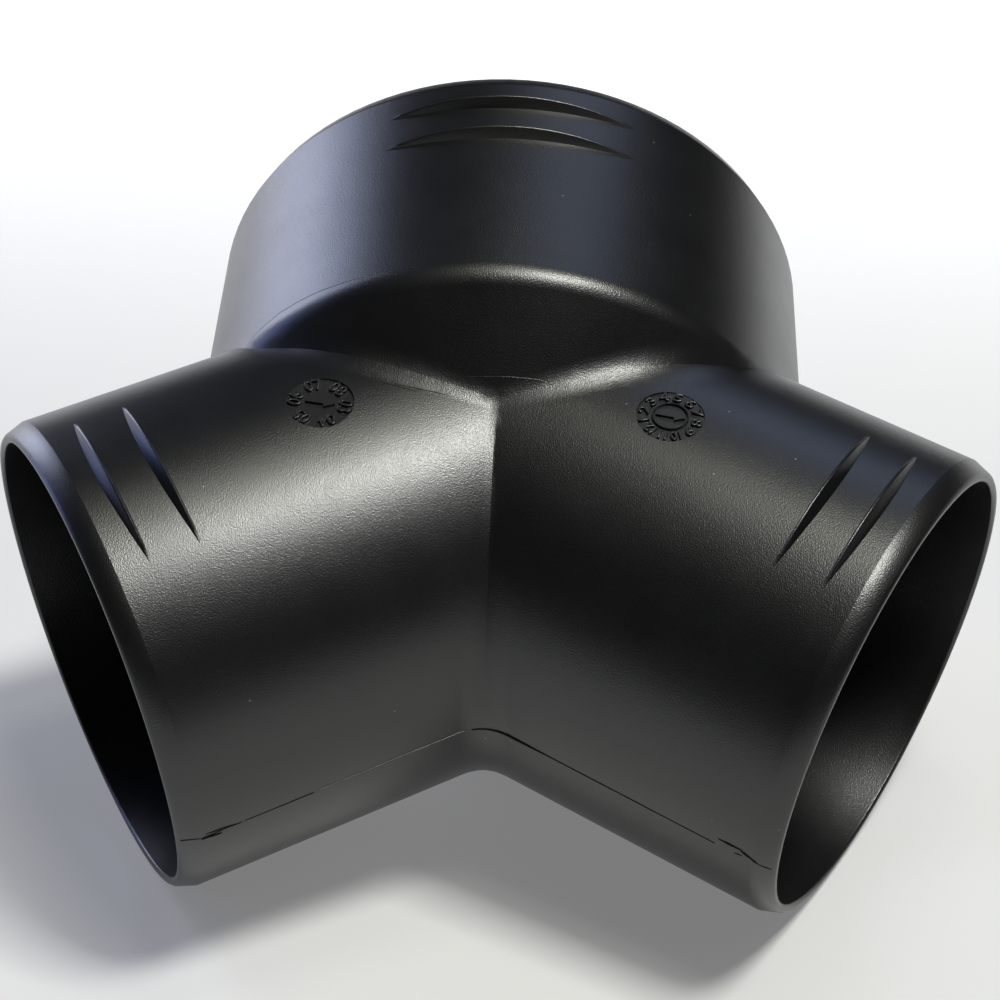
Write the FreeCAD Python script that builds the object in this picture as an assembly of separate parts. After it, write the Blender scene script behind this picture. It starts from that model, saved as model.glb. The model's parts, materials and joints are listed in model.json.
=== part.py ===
import FreeCAD, Part
import math
import os

# Driving dimensions, in millimetres and degrees.
trunk_diameter = 79.0     # outside of the wide spigot
branch_diameter = 60.0    # outside of each narrow spigot
trunk_reach = 39.2        # from where the three axes meet to the trunk's mouth
branch_reach = 56.1       # from where the three axes meet to a branch's mouth
branch_angle = 60.0       # each branch from the trunk's axis carried on
wall = 2.0                # moulded wall, even all over
shoulder_level = 1.4      # edge of the trunk's shoulder above the meeting point, before it is rounded
shoulder_slope = 45.0     # shoulder cone from the trunk's axis
shoulder_round = 4.0      # outer edge of the shoulder
crease_round = 6.0        # outside corners between trunk and branches
lead_length = 2.6         # lead-in taper at each mouth, along the axis
lead_depth = 0.8          # lead-in taper at each mouth, across the wall
rim_bevel = 0.4           # outer edge of each mouth
bore_bevel = 0.3          # inner edge of each mouth
barb_height = 1.4         # hose barb above the spigot, at its middle
barb_width = 2.8          # hose barb along the spigot, at its middle
barb_crest = 0.25         # flat top of a barb
barb_spread = 47.0        # angle of the spigot that a barb runs over
barb_setback = 6.6        # first barb from the mouth
barb_pitch = 6.0          # from one barb to the next
barb_count = 2            # barbs in a row
dial_diameter = 8.0       # flat seat of the moulding date dial
dial_reach = 23.5         # dial from the meeting point, along a branch
dial_depth = 0.35         # dial seat below the branch's top line

trunk_radius = trunk_diameter / 2
branch_radius = branch_diameter / 2
up = FreeCAD.Vector(0, 0, 1)
trunk_axis = FreeCAD.Vector(0, 1, 0)


def branch_axis(side):
    """Direction of a branch out of the meeting point; side is -1 or 1."""
    angle = math.radians(branch_angle)
    return FreeCAD.Vector(side * math.sin(angle), -math.cos(angle), 0)


def in_profile(radius, along):
    """Point of a profile, before it is turned about its axis."""
    return FreeCAD.Vector(radius, 0, along)


def runs(points):
    """Straight edges of a profile through (radius, along) points."""
    corners = [in_profile(*point) for point in points]
    return [Part.makeLine(start, end) for start, end in zip(corners, corners[1:])]


def turned(profile, direction):
    """Solid turned from the edges of a closed profile, its axis laid along direction."""
    solid = Part.Face(Part.Wire(profile)).revolve(FreeCAD.Vector(), up, 360)
    across = direction.cross(up)
    solid.Placement = FreeCAD.Placement(FreeCAD.Vector(), FreeCAD.Rotation(across, up, direction, "ZXY"))
    return solid


def mouth(radius, reach):
    """Profile of a spigot's end, from its plain outside over the lead-in taper to the axis."""
    rim = radius - lead_depth
    return [(radius, reach - lead_length), (rim, reach - rim_bevel), (rim - rim_bevel, reach), (0, reach)]


def flare(radius, reach):
    """Profile of an air way's end: the bevel of its edge, run out past the mouth."""
    end = reach + bore_bevel
    return [(radius, reach - bore_bevel), (radius + 2 * bore_bevel, end), (0, end)]


def trunk_solid(inset, end):
    """Wide spigot with its rounded, conical shoulder, every face moved in by inset; end closes the mouth."""
    radius = trunk_radius - inset
    bend = shoulder_round - inset
    slope = math.radians(shoulder_slope)
    level = shoulder_level + inset * math.tan(slope / 2)
    tip_radius = branch_radius / 2
    tip = level - (radius - tip_radius) / math.tan(slope)
    trim = bend * math.tan(slope / 2)
    on_cone = (radius - trim * math.sin(slope), level - trim * math.cos(slope))
    on_bend = (radius - bend * (1 - math.cos(slope / 2)), level + trim - bend * math.sin(slope / 2))
    on_wall = (radius, level + trim)
    shoulder = Part.Arc(in_profile(*on_cone), in_profile(*on_bend), in_profile(*on_wall)).toShape()
    profile = runs([(0, tip), (tip_radius, tip), on_cone]) + [shoulder] + runs([on_wall] + end + [(0, tip)])
    return turned(profile, trunk_axis)


def branch_solid(side, inset, end):
    """Narrow spigot from the meeting point outwards."""
    radius = branch_radius - inset
    return turned(runs([(0, 0), (radius, 0)] + end + [(0, 0)]), branch_axis(side))


def corner_edges(solid, tubes):
    """Edges of a solid where two of the tubes meet."""
    corners = []
    for edge in solid.Edges:
        middle = Part.Vertex(edge.valueAt(edge.getParameterByLength(edge.Length / 2)))
        touching = [tube for tube in tubes if tube.Shells[0].distToShape(middle)[0] < 0.001]
        if len(touching) > 1:
            corners.append(edge)
    return corners


def joined(tubes, corner_round):
    """Tubes as one solid, with the corners between them rounded."""
    solid = tubes[0].multiFuse(tubes[1:])
    return solid.makeFillet(corner_round, corner_edges(solid, tubes))


def outside():
    """Solid outer form of the fitting, without barbs."""
    tubes = [trunk_solid(0, mouth(trunk_radius, trunk_reach))]
    tubes += [branch_solid(side, 0, mouth(branch_radius, branch_reach)) for side in (-1, 1)]
    return joined(tubes, crease_round)


def air_way():
    """Space inside the fitting: its outer form moved in by the wall, and run out past the mouths."""
    cores = [trunk_solid(wall, flare(trunk_radius - wall, trunk_reach))]
    cores += [branch_solid(side, wall, flare(branch_radius - wall, branch_reach)) for side in (-1, 1)]
    return joined(cores, crease_round + wall)


def barb_circle(radius):
    """Crest circle of a barb that runs out into a spigot: its distance from the spigot's axis and its radius."""
    crest = radius + barb_height
    spread = math.radians(barb_spread / 2)
    offset = (crest ** 2 - radius ** 2) / (2 * (crest - radius * math.cos(spread)))
    return offset, crest - offset


def barbs(radius, reach, direction):
    """Hose barbs above and below a spigot: sharp-edged discs set off its axis, so that only crescents stand out."""
    offset, edge_radius = barb_circle(radius)
    half_width = barb_width / 2
    half_crest = barb_crest / 2
    root_radius = edge_radius - barb_height
    discs = []
    for number in range(barb_count):
        along = reach - barb_setback - number * barb_pitch
        profile = [(0, along - half_width), (root_radius, along - half_width), (edge_radius, along - half_crest),
                   (edge_radius, along + half_crest), (root_radius, along + half_width), (0, along + half_width)]
        for face in (-1, 1):
            disc = turned(runs(profile + profile[:1]), direction)
            disc.translate(up * face * offset)
            discs.append(disc)
    return discs


def dial_seats():
    """Flat round seats of the date dials, on the top line of both branches."""
    floor = branch_radius - dial_depth
    seats = []
    for side in (-1, 1):
        centre = branch_axis(side) * dial_reach + up * floor
        seats.append(Part.makeCylinder(dial_diameter / 2, dial_diameter, centre, up))
    return seats


def rest_tilt():
    """Pitch at which the fitting comes to rest: on its shoulder edge and on the branches' last barbs or tapers."""
    angle = math.radians(branch_angle)
    touch_level = shoulder_level + shoulder_round * math.tan(math.radians(shoulder_slope) / 2)
    barb_offset, barb_edge = barb_circle(branch_radius)
    barb_along = branch_reach - barb_setback + barb_crest / 2
    lead_along = branch_reach - lead_length
    low, high = 0.0, math.pi / 4
    while high - low > 1e-9:
        tilt = (low + high) / 2
        fall = math.sin(tilt)
        lie = math.cos(tilt)
        shoulder = (trunk_radius - shoulder_round) * lie + shoulder_round - touch_level * fall
        lean = math.hypot(math.sin(angle) * fall, lie)
        barb = barb_along * math.cos(angle) * fall + barb_offset * lie + barb_edge * lean
        taper = lead_along * math.cos(angle) * fall + branch_radius * lean
        if shoulder > max(barb, taper):
            low = tilt
        else:
            high = tilt
    return math.degrees(low)


def fitting():
    """Whole moulding, laid as it rests, with the floor at zero and its box centred on the origin."""
    spigots = [(trunk_radius, trunk_reach, trunk_axis)]
    spigots += [(branch_radius, branch_reach, branch_axis(side)) for side in (-1, 1)]
    discs = [disc for spigot in spigots for disc in barbs(*spigot)]
    solid = outside().multiFuse(discs).cut(dial_seats() + [air_way()]).Solids[0]
    solid.rotate(FreeCAD.Vector(), FreeCAD.Vector(1, 0, 0), rest_tilt())
    box = solid.optimalBoundingBox(False, False)
    solid.translate(FreeCAD.Vector(-box.Center.x, -box.Center.y, -box.ZMin))
    return solid


os.makedirs("parts", exist_ok=True)
body = fitting()
print("solids", len(body.Solids), "valid", body.isValid(), "volume", round(body.Volume))
body.exportStep("parts/y_branch_body.step")
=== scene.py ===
import bpy
import bmesh
import json
import math
from mathutils import Matrix, Vector, noise


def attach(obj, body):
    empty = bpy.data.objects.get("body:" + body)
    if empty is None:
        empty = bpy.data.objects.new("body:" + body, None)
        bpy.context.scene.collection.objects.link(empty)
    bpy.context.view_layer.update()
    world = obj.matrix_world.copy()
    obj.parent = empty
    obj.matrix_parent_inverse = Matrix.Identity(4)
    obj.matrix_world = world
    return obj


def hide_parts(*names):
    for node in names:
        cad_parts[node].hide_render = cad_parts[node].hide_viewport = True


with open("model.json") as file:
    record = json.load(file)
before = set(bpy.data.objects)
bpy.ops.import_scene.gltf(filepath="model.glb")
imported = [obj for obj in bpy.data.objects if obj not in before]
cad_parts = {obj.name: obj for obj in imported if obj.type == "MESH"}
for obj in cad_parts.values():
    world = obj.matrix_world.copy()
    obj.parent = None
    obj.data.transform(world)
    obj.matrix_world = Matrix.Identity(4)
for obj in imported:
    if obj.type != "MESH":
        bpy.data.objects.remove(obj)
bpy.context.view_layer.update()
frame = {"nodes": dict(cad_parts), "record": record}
scene = bpy.context.scene
scene.view_settings.view_transform = "Standard"
mm = 0.001

# the three axes, their meeting point and the upright of the duct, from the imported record
mounts = {mount["name"]: mount for mount in frame["record"]["mounts"]}
trunkAxis = Vector(mounts["trunk_spigot"]["axis"]).normalized()
leftAxis = Vector(mounts["left_branch_spigot"]["axis"]).normalized()
rightAxis = Vector(mounts["right_branch_spigot"]["axis"]).normalized()
trunkMouth = Vector(mounts["trunk_spigot"]["pos_m"])
leftMouth = Vector(mounts["left_branch_spigot"]["pos_m"])
rightMouth = Vector(mounts["right_branch_spigot"]["pos_m"])
meeting = rightMouth - rightAxis * (rightMouth.x / rightAxis.x)
ductUp = Vector((0, -trunkAxis.z, trunkAxis.y))

duct = {"trunkRadius": 39.5 * mm, "branchRadius": 30 * mm, "wall": 2 * mm,
        "shoulderLevel": 1.4 * mm, "shoulderSlope": math.radians(45), "shoulderRound": 4 * mm}
tubes = [(trunkAxis, trunkMouth, duct["trunkRadius"]), (leftAxis, leftMouth, duct["branchRadius"]),
         (rightAxis, rightMouth, duct["branchRadius"])]


def polar(point, axis):
    # how far along an axis a point lies, and its offset square to that axis
    rel = point - meeting
    along = rel.dot(axis)
    return along, rel - axis * along


def addPiece(name, mesh, material):
    piece = bpy.data.objects.new(name, mesh)
    scene.collection.objects.link(piece)
    mesh.materials.clear()
    mesh.materials.append(material)
    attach(piece, "root")
    return piece


def addNode(tree, kind, settings=None, **sockets):
    node = tree.nodes.new(kind)
    for key, value in (settings or {}).items():
        setattr(node, key, value)
    for key, value in sockets.items():
        node.inputs[key].default_value = value
    return node


# grain of the spark-worn mould: fine height, soft mottle and a little dust
grainLook = {"Grain Scale": 6800.0, "Mottle Scale": 160.0, "Dust Scale": 190.0, "Dust Size": 0.022,
             "mottleDetail": 4.0, "mottleRoughness": 0.55}


def makeGrainGroup():
    group = bpy.data.node_groups.new("mouldGrain", "ShaderNodeTree")
    for name in ("Grain Scale", "Mottle Scale", "Dust Scale", "Dust Size"):
        socket = group.interface.new_socket(name, in_out="INPUT", socket_type="NodeSocketFloat")
        socket.default_value = grainLook[name]
    for name in ("Height", "Mottle", "Dust"):
        group.interface.new_socket(name, in_out="OUTPUT", socket_type="NodeSocketFloat")
    given = group.nodes.new("NodeGroupInput")
    result = group.nodes.new("NodeGroupOutput")
    link = group.links.new
    place = addNode(group, "ShaderNodeTexCoord")
    grain = addNode(group, "ShaderNodeTexNoise", Detail=0.0)
    link(place.outputs["Object"], grain.inputs["Vector"])
    link(given.outputs["Grain Scale"], grain.inputs["Scale"])
    link(grain.outputs["Fac"], result.inputs["Height"])
    mottle = addNode(group, "ShaderNodeTexNoise", Detail=grainLook["mottleDetail"],
                     Roughness=grainLook["mottleRoughness"])
    link(place.outputs["Object"], mottle.inputs["Vector"])
    link(given.outputs["Mottle Scale"], mottle.inputs["Scale"])
    link(mottle.outputs["Fac"], result.inputs["Mottle"])
    speck = addNode(group, "ShaderNodeTexVoronoi", {"feature": "F1"}, Randomness=1.0)
    link(place.outputs["Object"], speck.inputs["Vector"])
    link(given.outputs["Dust Scale"], speck.inputs["Scale"])
    near = addNode(group, "ShaderNodeMath", {"operation": "LESS_THAN"})
    link(speck.outputs["Distance"], near.inputs[0])
    link(given.outputs["Dust Size"], near.inputs[1])
    link(near.outputs[0], result.inputs["Dust"])
    return group


grainGroup = makeGrainGroup()

plasticLook = {"dark": (0.0028, 0.0028, 0.0031, 1), "pale": (0.0042, 0.0042, 0.0047, 1),
               "dust": (0.16, 0.16, 0.155, 1), "smooth": 0.32, "dull": 0.35, "mottleLow": 0.3,
               "mottleHigh": 0.7, "grain": 1.0, "grainDepth": 0.022 * mm, "shine": 0.75}


def makePlastic(name, look):
    material = bpy.data.materials.new(name)
    material.use_nodes = True
    tree = material.node_tree
    link = tree.links.new
    shader = tree.nodes["Principled BSDF"]
    grain = addNode(tree, "ShaderNodeGroup", {"node_tree": grainGroup})
    tint = addNode(tree, "ShaderNodeMix", {"data_type": "RGBA"})
    tint.inputs["A"].default_value = look["dark"]
    tint.inputs["B"].default_value = look["pale"]
    link(grain.outputs["Mottle"], tint.inputs["Factor"])
    dusty = addNode(tree, "ShaderNodeMix", {"data_type": "RGBA"})
    dusty.inputs["B"].default_value = look["dust"]
    link(grain.outputs["Dust"], dusty.inputs["Factor"])
    link(tint.outputs["Result"], dusty.inputs["A"])
    link(dusty.outputs["Result"], shader.inputs["Base Color"])
    gloss = addNode(tree, "ShaderNodeMapRange")
    for socket, key in (("From Min", "mottleLow"), ("From Max", "mottleHigh"),
                        ("To Min", "smooth"), ("To Max", "dull")):
        gloss.inputs[socket].default_value = look[key]
    link(grain.outputs["Mottle"], gloss.inputs["Value"])
    link(gloss.outputs["Result"], shader.inputs["Roughness"])
    bump = addNode(tree, "ShaderNodeBump", Strength=look["grain"], Distance=look["grainDepth"])
    link(grain.outputs["Height"], bump.inputs["Height"])
    link(bump.outputs["Normal"], shader.inputs["Normal"])
    shader.inputs["Specular IOR Level"].default_value = look["shine"]
    return material


tornLook = {**plasticLook, "smooth": 0.6, "dull": 0.75, "shine": 0.15}  # plastic torn where flash came off
blackPlastic = makePlastic("blackPlastic", plasticLook)
tornPlastic = makePlastic("tornPlastic", tornLook)
print("materials ready")

# the moulding itself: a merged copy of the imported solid, its rims and barb crests softened
skin = {"merge": 0.002 * mm, "onSurface": 0.004 * mm, "facing": 0.97, "rimZone": 0.55 * mm,
        "rimSoft": 0.12 * mm, "crestFrom": 0.3 * mm, "crestSoft": 0.13 * mm,
        "sharp": math.radians(30), "creased": math.radians(6)}


def onRim(edge):
    for axis, mouth, radius in tubes:
        reach = (mouth - meeting).dot(axis)
        if all(polar(vert.co, axis)[0] > reach - skin["rimZone"] for vert in edge.verts):
            return True
    return False


def trunkDepth(point):
    # how far a point lies outside the trunk with its rounded shoulder, and the way out
    along, offset = polar(point, trunkAxis)
    slope, bend = duct["shoulderSlope"], duct["shoulderRound"]
    across = offset.length - duct["trunkRadius"] + bend
    rise = along - duct["shoulderLevel"] - bend * math.tan(slope / 2)
    turn = min(max(math.atan2(-rise, across), 0), slope)
    way = offset.normalized() * math.cos(turn) - trunkAxis * math.sin(turn)
    tip = duct["shoulderLevel"] - (duct["trunkRadius"] - duct["branchRadius"] / 2) / math.tan(slope)
    return max(across * math.cos(turn) - rise * math.sin(turn) - bend, tip - along), way


def branchDepth(point, axis):
    along, offset = polar(point, axis)
    return max(offset.length - duct["branchRadius"], -along), offset.normalized()


def depths(point):
    # distance outside the trunk, the left branch and the right branch, each with its way out
    return [trunkDepth(point), branchDepth(point, leftAxis), branchDepth(point, rightAxis)]


def roundNormals(point):
    # true directions of the plain tubes that a point lies on, outside or inside
    found = []
    for depth, way in depths(point):
        if abs(depth) < skin["onSurface"]:
            found.append(way)
        if abs(depth + duct["wall"]) < skin["onSurface"]:
            found.append(-way)
    return found


# corners between the tubes: full rounds that close to crisp creases, at the sides of the trunk
# and up the valley between the branches
corner = {"reach": 6.5 * mm, "fullTo": 14 * mm, "closedAt": 30 * mm, "sideRound": 0.16,
          "valleyFull": 3 * mm, "valleyClosed": 19 * mm, "valleyEnd": 10.5 * mm, "fade": 2 * mm,
          "valleyRound": 0.03, "valleyWide": 4.2 * mm, "chordSag": 0.06 * mm, "rowStep": 2.5 * mm, "rows": 11,
          "columns": [number * mm for number in (0.0, -0.45, -0.95, 0.3, -1.9, 1.9, 1.0)],
          "stripWide": 0.95 * mm, "stripEnd": 0.3 * mm, "stripLift": 0.07 * mm, "passes": 4}


def ease(value, start, end):
    share = min(max((value - start) / (end - start), 0), 1)
    return share * share * (3 - 2 * share)


def nearest(point):
    # the two tubes that a point lies nearest to, and its distances outside them
    found = depths(point)
    order = sorted(range(3), key=lambda tube: found[tube][0])
    return order[0], order[1], found


def onCorner(point):
    first, second, found = nearest(point)
    return found[first][0] > skin["onSurface"] and found[second][0] < corner["reach"]


def roundLeft(point, first, second):
    # share of a corner's round that stays
    rel = point - meeting
    if min(first, second) == 0:
        return 1 - ease(abs(rel.x), corner["fullTo"], corner["closedAt"]) * (1 - corner["sideRound"])
    crisp = ease(rel.dot(ductUp), corner["valleyFull"], corner["valleyClosed"])
    crisp *= ease(-rel.dot(trunkAxis), corner["valleyEnd"], corner["valleyEnd"] + corner["fade"])
    return 1 - crisp * (1 - corner["valleyRound"])


def inValley(point):
    rel = point - meeting
    beyond = rel.dot(trunkAxis) > -corner["valleyEnd"] or rel.dot(ductUp) < 0
    if beyond or abs(rel.x) > corner["valleyWide"]:
        return False
    return branchDepth(point, leftAxis if rel.x < 0 else rightAxis)[0] > -corner["chordSag"]


def splitValley(shape):
    # rows and columns of points down the valley, laid on the branches where these are plain
    across = Vector((1, 0, 0))
    cuts = [(across * x, across) for x in corner["columns"]]
    cuts += [(ductUp * (corner["rowStep"] * number), ductUp) for number in range(1, corner["rows"] + 1)]
    for place, normal in cuts:
        faces = [face for face in shape.faces if all(inValley(vert.co) for vert in face.verts)]
        geom = {part for face in faces for part in (face, *face.edges, *face.verts)}
        bmesh.ops.bisect_plane(shape, geom=list(geom), dist=skin["merge"],
                               plane_co=meeting + place, plane_no=normal)
    for vert in shape.verts:
        if inValley(vert.co):
            depth, way = branchDepth(vert.co, leftAxis if vert.co.x < meeting.x else rightAxis)
            if depth < skin["onSurface"]:
                vert.co -= way * depth


def splitCreases(shape, mark):
    # points along the middle of the rounds between trunk and branches
    made = []
    for edge in list(shape.edges):
        start, end = edge.verts
        if not (onCorner(start.co) or onCorner(end.co)):
            continue
        first, second, found = nearest(start.co)
        pair = sorted((first, second))
        if pair[0] != 0 or sorted(nearest(end.co)[:2]) != pair:
            continue
        beyond = depths(end.co)
        here, there = (item[0][0] - item[pair[1]][0] for item in (found, beyond))
        if here * there < 0:
            made.append(bmesh.utils.edge_split(edge, start, here / (here - there))[1])
    bmesh.ops.connect_verts(shape, verts=made)
    for vert in made:
        vert[mark] = 1
    for vert in shape.verts:
        if abs(vert.co.x - meeting.x) < skin["onSurface"] and inValley(vert.co):
            vert[mark] = 1


def toCrease(point, first, second):
    # onto the line where two tubes meet
    for _ in range(corner["passes"]):
        found = depths(point)
        (a, wayA), (b, wayB) = found[first], found[second]
        lean = wayA.dot(wayB)
        point = point - (wayA * (a - lean * b) + wayB * (b - lean * a)) / (1 - lean * lean)
    return point


def toSide(point, first, second):
    # onto the nearer tube, along the middle between both ways out
    found = depths(point)
    middle = (found[first][1] + found[second][1]).normalized()
    for _ in range(corner["passes"]):
        depth, way = depths(point)[first]
        point = point - middle * (depth / way.dot(middle))
    return point


def sharpenCorners(shape, mark):
    splitValley(shape)
    splitCreases(shape, mark)
    moved = []
    for vert in shape.verts:
        if not onCorner(vert.co):
            continue
        first, second, found = nearest(vert.co)
        share = roundLeft(vert.co, first, second)
        if share == 1:
            continue
        place = (toCrease if vert[mark] else toSide)(vert.co, first, second).lerp(vert.co, share)
        x = vert.co.x - meeting.x
        if min(first, second) > 0 and -corner["stripWide"] < x < corner["stripEnd"]:
            # narrow raised strip beside the line of the valley
            lift = 1 + x / corner["stripWide"] if x <= 0 else 1 - x / corner["stripEnd"]
            outward = Vector((0, *found[first][1].yz)).normalized()
            place += outward * (lift * corner["stripLift"] * (1 - share))
        moved.append((vert, place))
    for vert, place in moved:
        vert.co = place


# hose barbs: steep towards the junction, with the crests of the branches drawn towards the mouth;
# crestShift and footShare hold a value each for the trunk, the left branch and the right branch
barb = {"setback": 6.6 * mm, "pitch": 6 * mm, "count": 2, "halfWidth": 1.4 * mm, "halfCrest": 0.125 * mm,
        "height": 1.4 * mm, "sag": 0.1 * mm, "crestShift": (0, 0.4 * mm, 0.4 * mm),
        "footShare": (0.5, 0.0, 0.0)}


def steepenBarbs(shape):
    tight = skin["onSurface"]
    for (axis, mouth, radius), shift, share in zip(tubes, barb["crestShift"], barb["footShare"]):
        for number in range(barb["count"]):
            crest = (mouth - meeting).dot(axis) - barb["setback"] - number * barb["pitch"]
            for vert in shape.verts:
                along, offset = polar(vert.co, axis)
                behind = crest - along
                proud = offset.length - radius
                if proud < -barb["sag"] or proud > barb["height"] + tight:
                    continue
                if abs(behind) < barb["halfCrest"] + tight:
                    vert.co += axis * (shift * max(proud, 0) / barb["height"])
                elif barb["halfCrest"] < behind < barb["halfWidth"] + tight:
                    vert.co += axis * ((behind - barb["halfCrest"]) * (1 - share))


def makeSkin():
    shape = bmesh.new()
    shape.from_mesh(frame["nodes"]["y_branch_body"].data)
    bmesh.ops.remove_doubles(shape, verts=shape.verts, dist=skin["merge"])
    mark = shape.verts.layers.int.new("crease")
    sharpenCorners(shape, mark)
    steepenBarbs(shape)
    rims = [edge for edge in shape.edges if edge.is_manifold and edge.calc_face_angle(0) > skin["sharp"]
            and onRim(edge)]
    bmesh.ops.bevel(shape, geom=rims, offset=skin["rimSoft"], segments=2, profile=0.5, affect="EDGES",
                    material=-1)
    crests = [edge for edge in shape.edges if edge.is_convex and edge.calc_face_angle(0) > skin["sharp"]
              and all(min(depth for depth, way in depths(vert.co)) > skin["crestFrom"] for vert in edge.verts)]
    bmesh.ops.bevel(shape, geom=crests, offset=skin["crestSoft"], segments=3, profile=0.5, affect="EDGES",
                    material=-1)
    for face in shape.faces:
        face.smooth = True
    for edge in shape.edges:
        creased = all(vert[mark] for vert in edge.verts)
        edge.smooth = edge.calc_face_angle(0) < (skin["creased"] if creased else skin["sharp"])
    mesh = bpy.data.meshes.new("moulding")
    shape.verts.layers.int.remove(mark)
    shape.to_mesh(mesh)
    shape.free()
    if "custom_normal" in mesh.attributes:
        mesh.attributes.remove(mesh.attributes["custom_normal"])
    shading = [normal.vector.copy() for normal in mesh.corner_normals]
    known = [roundNormals(vert.co) for vert in mesh.vertices]
    for face in mesh.polygons:
        for loop in face.loop_indices:
            options = known[mesh.loops[loop].vertex_index]
            best = max(options, key=face.normal.dot, default=None)
            if best is not None and best.dot(face.normal) > skin["facing"]:
                shading[loop] = best
    mesh.normals_split_custom_set(shading)
    return mesh


moulding = addPiece("moulding", makeSkin(), blackPlastic)
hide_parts("y_branch_body")
print("moulding", len(moulding.data.polygons), "faces")

# moulding date dials: numbers round an arrow, standing on the seat of each branch
dial = {"reach": 23.5 * mm, "sink": 0.35 * mm, "raise": 0.34 * mm, "merge": 0.0005 * mm,
        "digitBevel": 0.07 * mm, "bevelSteps": 2, "curveSteps": 3, "capShare": 0.72, "bold": 0.034,
        "loneWide": 1.6,
        "leftTall": 1.65 * mm, "leftNarrow": 0.9, "leftAt": 2.9 * mm,
        "rightTall": 1.3 * mm, "rightNarrow": 0.85, "rightAt": 3.1 * mm,
        "ringAt": 2.05 * mm, "ringWide": 0.2 * mm, "ringSteps": 48,
        "arrowHalf": 1.75 * mm, "shaft": 0.17 * mm, "head": 0.62 * mm, "leftArrow": -8, "rightArrow": -12,
        "leftNumbers": [("06", 171), ("07", 111), ("08", 51), ("03", -9), ("04", -69), ("05", -129)],
        "rightNumbers": [(str(month), 193 - 30 * (month - 1)) for month in range(1, 13)]}


def dialPlace(axis):
    floor = meeting + axis * dial["reach"] + ductUp * (duct["branchRadius"] - dial["sink"])
    turn = Matrix((Vector((1, 0, 0)), trunkAxis, ductUp)).transposed()
    return Matrix.Translation(floor) @ turn.to_4x4()


def numberMesh(text, tall, narrow, thick):
    curve = bpy.data.curves.new("number", "FONT")
    curve.body = text
    curve.align_x = "CENTER"
    curve.align_y = "CENTER"
    curve.size = tall / dial["capShare"]
    curve.extrude = thick - dial["digitBevel"]
    curve.bevel_depth = dial["digitBevel"]
    curve.bevel_resolution = dial["bevelSteps"]
    curve.offset = dial["bold"] * tall - dial["digitBevel"]
    curve.resolution_u = dial["curveSteps"]
    holder = bpy.data.objects.new("number", curve)
    scene.collection.objects.link(holder)
    bpy.context.view_layer.update()
    mesh = bpy.data.meshes.new_from_object(holder.evaluated_get(bpy.context.evaluated_depsgraph_get()))
    bpy.data.objects.remove(holder)
    bpy.data.curves.remove(curve)
    mesh.transform(Matrix.Diagonal((narrow, 1, 1, 1)))
    return mesh


def makeDial(side, axis, ring):
    tall, narrow, at = (dial[side + key] for key in ("Tall", "Narrow", "At"))
    shape = bmesh.new()
    for text, angle in dial[side + "Numbers"]:
        wide = dial["loneWide"] if len(text) == 1 else 1
        mesh = numberMesh(text, tall, narrow * wide, dial["raise"])
        turn = math.radians(angle)
        spin = Matrix.Rotation(turn - math.pi / 2, 4, "Z")
        mesh.transform(Matrix.Translation((at * math.cos(turn), at * math.sin(turn), 0)) @ spin)
        shape.from_mesh(mesh)
        bpy.data.meshes.remove(mesh)
    # arrow across the middle
    half, shaft, head = dial["arrowHalf"], dial["shaft"], dial["head"]
    neck = half - 2 * head
    corners = [(-half, -shaft), (neck, -shaft), (neck, -head), (half, 0), (neck, head), (neck, shaft),
               (-half, shaft)]
    arrow = shape.faces.new([shape.verts.new((x, y, 0)) for x, y in corners])
    grown = bmesh.ops.extrude_face_region(shape, geom=[arrow])["geom"]
    tops = [item for item in grown if isinstance(item, bmesh.types.BMVert)]
    bmesh.ops.translate(shape, verts=tops, vec=(0, 0, dial["raise"]))
    arrowVerts = tops + list(arrow.verts)
    arrowTurn = Matrix.Rotation(math.radians(dial[side + "Arrow"]), 3, "Z")
    bmesh.ops.rotate(shape, verts=arrowVerts, cent=(0, 0, 0), matrix=arrowTurn)
    if ring:
        wide, top, bevel = dial["ringWide"] / 2, dial["raise"], dial["digitBevel"]
        profile = [(-wide, 0), (wide, 0), (wide, top - bevel), (wide - bevel, top), (bevel - wide, top),
                   (-wide, top - bevel)]
        section = [shape.verts.new((dial["ringAt"] + x, 0, z)) for x, z in profile]
        outline = [shape.edges.new(ends) for ends in zip(section, section[1:] + section[:1])]
        bmesh.ops.spin(shape, geom=outline + section, cent=(0, 0, 0), axis=(0, 0, 1),
                       angle=2 * math.pi, steps=dial["ringSteps"], use_merge=True)
    bmesh.ops.remove_doubles(shape, verts=shape.verts, dist=dial["merge"])
    bmesh.ops.recalc_face_normals(shape, faces=shape.faces)
    bmesh.ops.transform(shape, matrix=dialPlace(axis), verts=shape.verts)
    mesh = bpy.data.meshes.new(side + "DialMarks")
    shape.to_mesh(mesh)
    shape.free()
    addPiece(side + "DialMarks", mesh, blackPlastic)


makeDial("left", leftAxis, False)
makeDial("right", rightAxis, True)
print("dials ready")

# the photograph's viewpoint, and the place on the moulding that it shows at a pixel
view = {"aim": (0.351 * mm, 0.491 * mm, 0.762 * mm), "azimuth": math.radians(1.4884),
        "elevation": math.radians(32.3111), "roll": math.radians(1.5042), "distance": 297.075 * mm,
        "lens": 82.894, "sensor": 36, "pixels": 1000, "clipStart": 0.01}


def viewPlace():
    flat = math.cos(view["elevation"])
    around = view["azimuth"]
    back = Vector((math.sin(around) * flat, -math.cos(around) * flat, math.sin(view["elevation"])))
    turn = (-back).to_track_quat("-Z", "Y").to_matrix().to_4x4() @ Matrix.Rotation(view["roll"], 4, "Z")
    return Matrix.Translation(meeting + Vector(view["aim"]) + back * view["distance"]) @ turn


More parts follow.
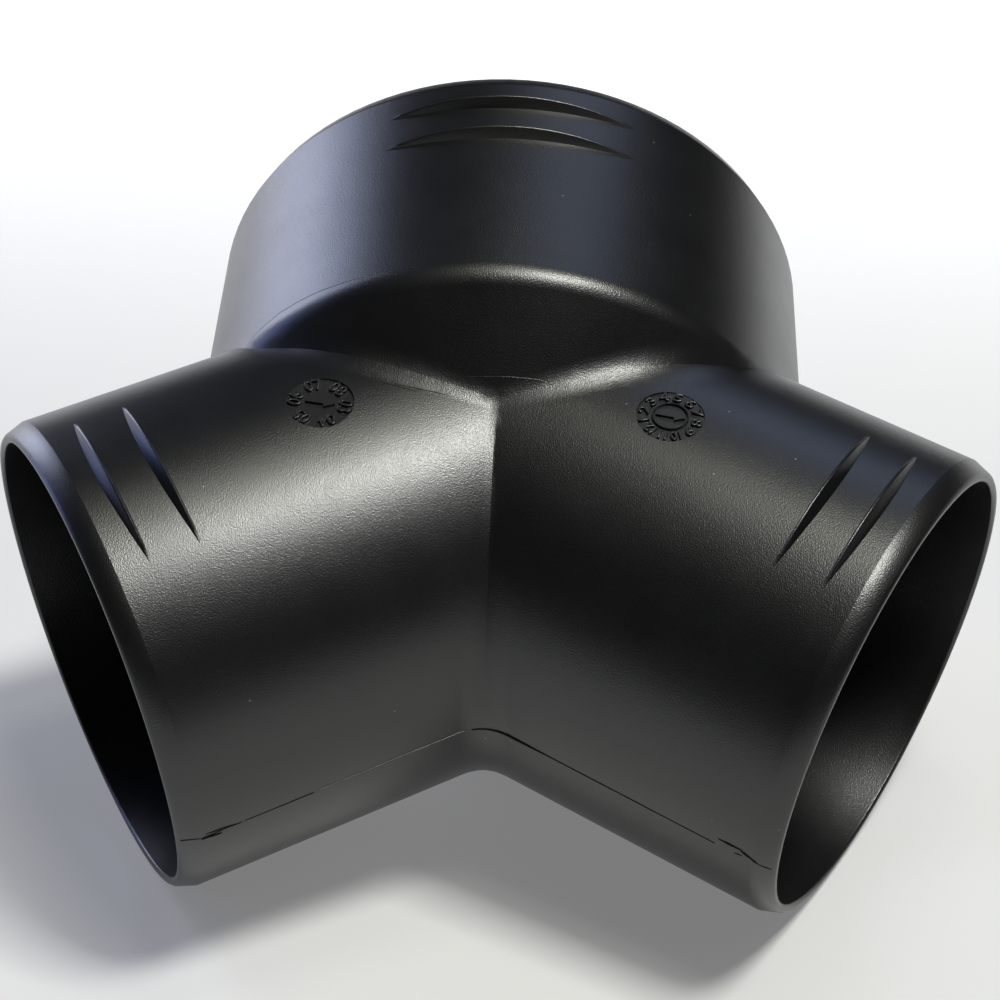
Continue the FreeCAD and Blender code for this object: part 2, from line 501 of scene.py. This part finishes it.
def seenAt(x, y):
    place = viewPlace()
    spread = view["sensor"] / view["lens"] / view["pixels"]
    middle = view["pixels"] / 2
    ray = place.to_3x3() @ Vector(((x - middle) * spread, (middle - y) * spread, -1)).normalized()
    hit, spot, normal, face = moulding.ray_cast(place.translation, ray)
    return (spot, normal) if hit else None


def makeBeads(name, runs, material):
    # round beads through lists of (centre, radius)
    curve = bpy.data.curves.new(name, "CURVE")
    curve.dimensions = "3D"
    curve.bevel_depth = 1.0
    curve.bevel_resolution = 2
    curve.use_fill_caps = True
    for run in runs:
        spline = curve.splines.new("POLY")
        spline.points.add(len(run) - 1)
        for point, (centre, radius) in zip(spline.points, run):
            point.co = (*centre, 1)
            point.radius = radius
    holder = bpy.data.objects.new(name, curve)
    scene.collection.objects.link(holder)
    bpy.context.view_layer.update()
    mesh = bpy.data.meshes.new_from_object(holder.evaluated_get(bpy.context.evaluated_depsgraph_get()))
    bpy.data.objects.remove(holder)
    bpy.data.curves.remove(curve)
    for face in mesh.polygons:
        face.use_smooth = True
    addPiece(name, mesh, material)


# mould line: a fine torn bead where the two halves of the mould met, round the whole outside;
# by the fork it is thicker, and along the left branch a stretch of it is smooth
mouldLine = {"step": 0.6 * mm, "size": 0.10 * mm, "proud": 0.6, "uneven": 0.35, "unevenOver": 4 * mm,
             "endOn": 0.55, "endZone": 3 * mm, "shortest": 4, "gapPixels": [(717, 842.5), (772, 869.6)],
             "forkAt": 3.4 * mm, "forkSpread": 3.2 * mm, "forkSize": 0.16 * mm,
             "smoothFrom": -19 * mm, "smoothTo": -1.9 * mm, "smoothSize": 0.11 * mm, "smoothProud": 0.95}


def outsideChains():
    # lines of points round the outside, cut by the plane of the three axes, without the rims' ends
    cut = bmesh.new()
    cut.from_mesh(moulding.data)
    made = bmesh.ops.bisect_plane(cut, geom=cut.verts[:] + cut.edges[:] + cut.faces[:], dist=1e-7,
                                  plane_co=meeting, plane_no=ductUp)
    lines = [item for item in made["geom_cut"] if isinstance(item, bmesh.types.BMEdge) and item.link_faces]
    nextTo = {}
    for line in lines:
        a, b = line.verts
        middle = (a.co + b.co) / 2
        facing = sum((face.normal for face in line.link_faces), Vector()).normalized()
        rimEnd = any(abs(facing.dot(axis)) > mouldLine["endOn"]
                     and polar(middle, axis)[0] > (mouth - meeting).dot(axis) - mouldLine["endZone"]
                     for axis, mouth, radius in tubes)
        if facing.dot(middle - meeting) > 0 and not rimEnd:
            nextTo.setdefault(a.index, set()).add(b.index)
            nextTo.setdefault(b.index, set()).add(a.index)
    cut.verts.ensure_lookup_table()
    places = {index: cut.verts[index].co.copy() for index in nextTo}
    cut.free()
    chains, seen = [], set()
    for start in sorted(nextTo):
        if len(nextTo[start]) != 1 or start in seen:
            continue
        chain, here = [start], start
        seen.add(start)
        while True:
            onward = [other for other in sorted(nextTo[here]) if other not in seen]
            if not onward:
                break
            here = onward[0]
            seen.add(here)
            chain.append(here)
        chains.append([places[index] for index in chain])
    return chains


def evenSteps(chain, step):
    points, carried = [chain[0]], 0.0
    for a, b in zip(chain, chain[1:]):
        run = (b - a).length
        while carried + run >= step:
            a = a.lerp(b, (step - carried) / run)
            run = (b - a).length
            carried = 0.0
            points.append(a)
        carried += run
    points.append(chain[-1])
    return points


def makeMouldLine():
    torn, smooth = [], []
    gapFrom, gapTo = (seenAt(*pixel)[0].x for pixel in mouldLine["gapPixels"])
    for chain in outsideChains():
        points = evenSteps(chain, mouldLine["step"])
        if len(points) < mouldLine["shortest"]:
            continue
        last = None
        for number, point in enumerate(points):
            before, after = points[max(number - 1, 0)], points[min(number + 1, len(points) - 1)]
            outward = (after - before).cross(ductUp).normalized()
            if outward.dot(point - meeting) < 0:
                outward.negate()
            front = (point - meeting).dot(trunkAxis) < 0 and outward.y < 0
            if front and gapFrom < point.x < gapTo:
                last = None
                continue
            glossy = front and mouldLine["smoothFrom"] < point.x < mouldLine["smoothTo"]
            uneven = 1 + mouldLine["uneven"] * noise.noise(point / mouldLine["unevenOver"])
            size, proud = mouldLine["size"] * uneven, mouldLine["proud"]
            if glossy:
                size, proud = mouldLine["smoothSize"], mouldLine["smoothProud"]
            elif front:
                off = (point.x - mouldLine["forkAt"]) / mouldLine["forkSpread"]
                size += mouldLine["forkSize"] * math.exp(-off ** 2)
            bead = (point - outward * size * (1 - proud), size)
            if glossy is not last:
                (smooth if glossy else torn).append([])
                last = glossy
            (smooth if glossy else torn)[-1].append(bead)
    makeBeads("mouldLine", [run for run in torn if len(run) > 1], tornPlastic)
    makeBeads("mouldLineSmooth", [run for run in smooth if len(run) > 1], blackPlastic)


makeMouldLine()
print("mould line ready")

# witness lines and trimmed flash: (bead radius, share that stands out, pixels that it runs through)
witness = {"pixelStep": 2.5, "endSize": 0.45, "ragged": 0.5, "raggedOver": 0.9 * mm,
           "fine": [
               (0.05 * mm, 0.6, [(466, 376.6), (500, 376.4), (512, 377.2)]),
               (0.12 * mm, 0.8, [(506, 376.8), (520, 378), (532, 379.2), (544, 380.8)]),
               (0.09 * mm, 0.8, [(395, 383.4), (412, 387.4), (430, 391), (449, 395.4)]),
               (0.06 * mm, 0.5, [(252, 338), (265, 325), (280, 312.5), (300, 300.5), (320, 291), (345, 282),
                                 (372, 274.5)]),
               (0.10 * mm, 0.9, [(241, 822.2), (245, 820.6)]),
               (0.10 * mm, 0.9, [(247, 820), (250.5, 818.6)]),
               (0.10 * mm, 0.9, [(253, 817.6), (257, 816)])],
           "torn": [
               (0.06 * mm, 0.5, [(383, 382.6), (400, 387), (417, 391.6)]),
               (0.17 * mm, 0.7, [(201, 839.6), (211, 836.2), (222, 832.6)]),
               (0.30 * mm, 0.3, [(206, 834.2), (222, 828.6), (240, 823)]),
               (0.15 * mm, 0.7, [(718, 838.6), (730, 844.6), (742, 850.6)]),
               (0.28 * mm, 0.4, [(741, 851), (749, 857.2), (757, 863.6)]),
               (0.12 * mm, 0.6, [(734, 852.6), (742, 856)]),
               (0.09 * mm, 0.6, [(756, 863.4), (765, 867.4), (772, 869.6)])]}


def traceRun(size, proud, pixels):
    # bead along the skin under a line of pixels, thinner at its ends
    places = []
    for (x0, y0), (x1, y1) in zip(pixels, pixels[1:]):
        count = max(1, round(math.hypot(x1 - x0, y1 - y0) / witness["pixelStep"]))
        places += [(x0 + (x1 - x0) * step / count, y0 + (y1 - y0) * step / count) for step in range(count)]
    places.append(pixels[-1])
    run = []
    for number, (x, y) in enumerate(places):
        seen = seenAt(x, y)
        if seen:
            spot, normal = seen
            middle = math.sin(math.pi * (number + 0.5) / len(places))
            thin = witness["endSize"] + (1 - witness["endSize"]) * middle
            here = size * thin * (1 + witness["ragged"] * noise.noise(spot / witness["raggedOver"]))
            run.append((spot - normal * here * (1 - proud), here))
    return run


makeBeads("witnessLines", [traceRun(*trace) for trace in witness["fine"]], blackPlastic)
makeBeads("trimmedFlash", [traceRun(*trace) for trace in witness["torn"]], tornPlastic)
print("witness lines ready")

# pale floor: lit paint plus a glow that camera, glossy and transmission rays see; the glow is painted shade,
# dimmer under and in front of the object so the floor and its reflections in the object stay dark there, and
# paler to white further behind; the soft shadow is kept
floorLook = {"radius": 12.0, "sides": 96, "paint": (0.6, 0.6, 0.6, 1), "roughness": 0.9,
             "near": 0.04, "far": 0.3, "liftNearPaintedShade": 0.19, "liftFar": 0.7}


def makeFloor():
    shape = bmesh.new()
    bmesh.ops.create_circle(shape, cap_ends=True, segments=floorLook["sides"], radius=floorLook["radius"])
    mesh = bpy.data.meshes.new("floor")
    shape.to_mesh(mesh)
    shape.free()
    material = bpy.data.materials.new("paleFloor")
    material.use_nodes = True
    tree = material.node_tree
    link = tree.links.new
    shader = tree.nodes["Principled BSDF"]
    shader.inputs["Base Color"].default_value = floorLook["paint"]
    shader.inputs["Roughness"].default_value = floorLook["roughness"]
    shader.inputs["Specular IOR Level"].default_value = 0.0
    rays = addNode(tree, "ShaderNodeLightPath")
    seen = addNode(tree, "ShaderNodeMath", {"operation": "MAXIMUM"})
    link(rays.outputs["Is Camera Ray"], seen.inputs[0])
    link(rays.outputs["Is Glossy Ray"], seen.inputs[1])
    clear = addNode(tree, "ShaderNodeMath", {"operation": "MAXIMUM"})
    link(seen.outputs[0], clear.inputs[0])
    link(rays.outputs["Is Transmission Ray"], clear.inputs[1])
    place = addNode(tree, "ShaderNodeTexCoord")
    away = addNode(tree, "ShaderNodeSeparateXYZ")
    link(place.outputs["Object"], away.inputs[0])
    # painted shade: the glow is dimmer under and in front of the object and brighter further behind it
    paintedShadeGlow = addNode(tree, "ShaderNodeMapRange", {"interpolation_type": "SMOOTHSTEP"})
    for socket, key in (("From Min", "near"), ("From Max", "far"),
                        ("To Min", "liftNearPaintedShade"), ("To Max", "liftFar")):
        paintedShadeGlow.inputs[socket].default_value = floorLook[key]
    link(away.outputs["Y"], paintedShadeGlow.inputs["Value"])
    lift = addNode(tree, "ShaderNodeMath", {"operation": "MULTIPLY"})
    link(paintedShadeGlow.outputs["Result"], lift.inputs[1])
    link(clear.outputs[0], lift.inputs[0])
    shader.inputs["Emission Color"].default_value = (1, 1, 1, 1)
    link(lift.outputs[0], shader.inputs["Emission Strength"])
    floor = bpy.data.objects.new("floor", mesh)
    scene.collection.objects.link(floor)
    mesh.materials.append(material)


makeFloor()

# soft lamps round the object: (azimuth and elevation from the object, distance, width, height, power, colour)
lamps = {
    "key": ((62, 69), 0.8, 0.17, 0.17, 5.0, (1.0, 1.0, 0.94)),
    "besideKey": ((30, 74), 0.8, 0.14, 0.14, 0.8, (1.0, 1.0, 0.92)),
    "top": ((135, 85), 0.8, 0.18, 0.18, 0.6, (1.0, 1.0, 0.85)),
    "lowLeft": ((225, 10), 0.8, 0.30, 0.30, 1.15, (0.76, 0.80, 1.0)),
    "midLeft": ((230, 25), 0.8, 0.30, 0.30, 1.15, (0.62, 0.70, 1.0)),
    "farLeft": ((255, 10), 0.8, 0.30, 0.30, 0.85, (0.35, 0.43, 1.0)),
    "back": ((160, 45), 0.8, 0.30, 0.30, 0.40, (0.55, 0.68, 1.0)),
    "front": ((45, 55), 0.8, 0.30, 0.30, 0.15, (0.8, 0.75, 1.0)),
}


def addLamp(name, angles, distance, width, height, power, colour):
    light = bpy.data.lights.new(name, "AREA")
    light.shape = "RECTANGLE"
    light.size = width
    light.size_y = height
    light.energy = power
    light.color = colour
    lamp = bpy.data.objects.new(name, light)
    scene.collection.objects.link(lamp)
    around, rise = (math.radians(angle) for angle in angles)
    toward = Vector((math.sin(around) * math.cos(rise), -math.cos(around) * math.cos(rise), math.sin(rise)))
    lamp.location = meeting + toward * distance
    lamp.rotation_euler = (-toward).to_track_quat("-Z", "Y").to_euler()


for name, values in lamps.items():
    addLamp(name, *values)

studio = {"colour": (0.9, 0.95, 1.0, 1), "strength": 0.02}
world = bpy.data.worlds.new("studio")
scene.world = world
world.use_nodes = True
background = world.node_tree.nodes["Background"]
background.inputs["Color"].default_value = studio["colour"]
background.inputs["Strength"].default_value = studio["strength"]


# camera at the photograph's viewpoint
def addCamera():
    camera = bpy.data.cameras.new("viewpoint")
    camera.sensor_width = view["sensor"]
    camera.lens = view["lens"]
    camera.clip_start = view["clipStart"]
    holder = bpy.data.objects.new("viewpoint", camera)
    scene.collection.objects.link(holder)
    holder.matrix_world = viewPlace()
    scene.camera = holder


addCamera()
print("floor, lamps and camera ready")
